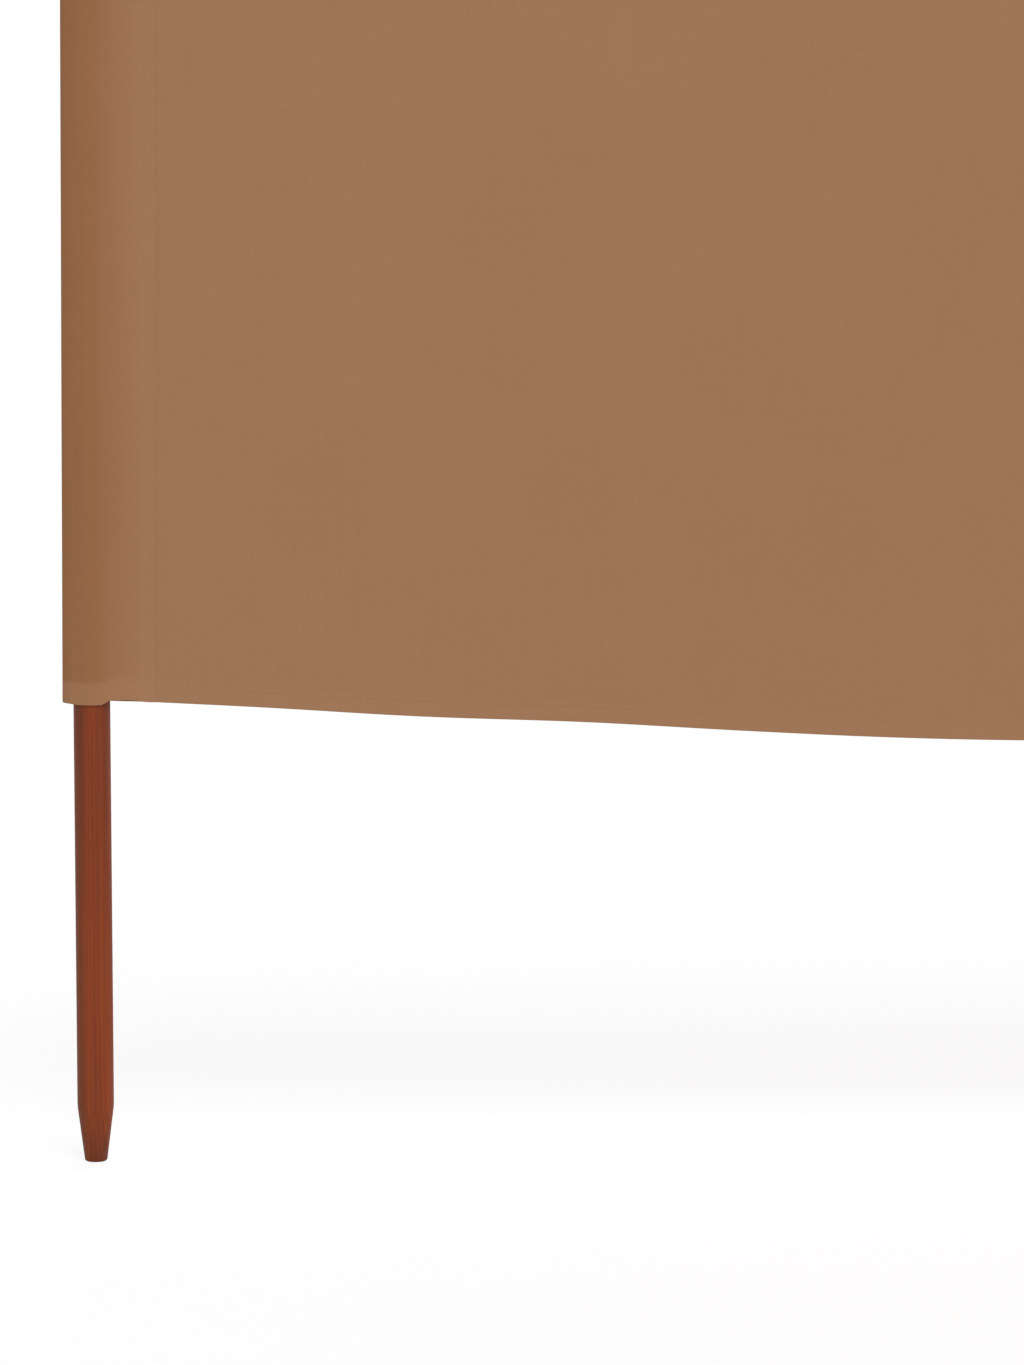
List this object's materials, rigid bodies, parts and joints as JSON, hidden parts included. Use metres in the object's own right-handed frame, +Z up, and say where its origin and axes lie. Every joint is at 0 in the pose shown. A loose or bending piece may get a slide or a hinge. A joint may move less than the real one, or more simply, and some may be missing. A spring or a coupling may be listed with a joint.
{
  "type": "beach windbreak",
  "caption": "Beach windbreak: plain taupe cloth hung in bays between round wooden poles, whose pointed feet are pushed into the sand to give shelter from the wind.",
  "frame": {"origin": "middle of the flat end of the first pole's point, where it goes into the ground", "axes": "+X along the row of poles, +Z up the poles, -Y to the front"},
  "size_m": [6.0416, 0.0316, 1.2],
  "materials": {
    "stained_pine": "stained, satin",
    "woven_cloth": "plain weave, matt"
  },
  "bodies": {
    "root": {"pole_1": "stained_pine", "sleeve_1": "woven_cloth", "pole_2": "stained_pine", "sleeve_2": "woven_cloth", "pole_3": "stained_pine", "sleeve_3": "woven_cloth", "pole_4": "stained_pine", "sleeve_4": "woven_cloth", "pole_5": "stained_pine", "sleeve_5": "woven_cloth", "panel_1": "woven_cloth", "top_hem_1": "woven_cloth", "bottom_hem_1": "woven_cloth", "panel_2": "woven_cloth", "top_hem_2": "woven_cloth", "bottom_hem_2": "woven_cloth", "panel_3": "woven_cloth", "top_hem_3": "woven_cloth", "bottom_hem_3": "woven_cloth", "panel_4": "woven_cloth", "top_hem_4": "woven_cloth", "bottom_hem_4": "woven_cloth"}
  },
  "joints": []
}
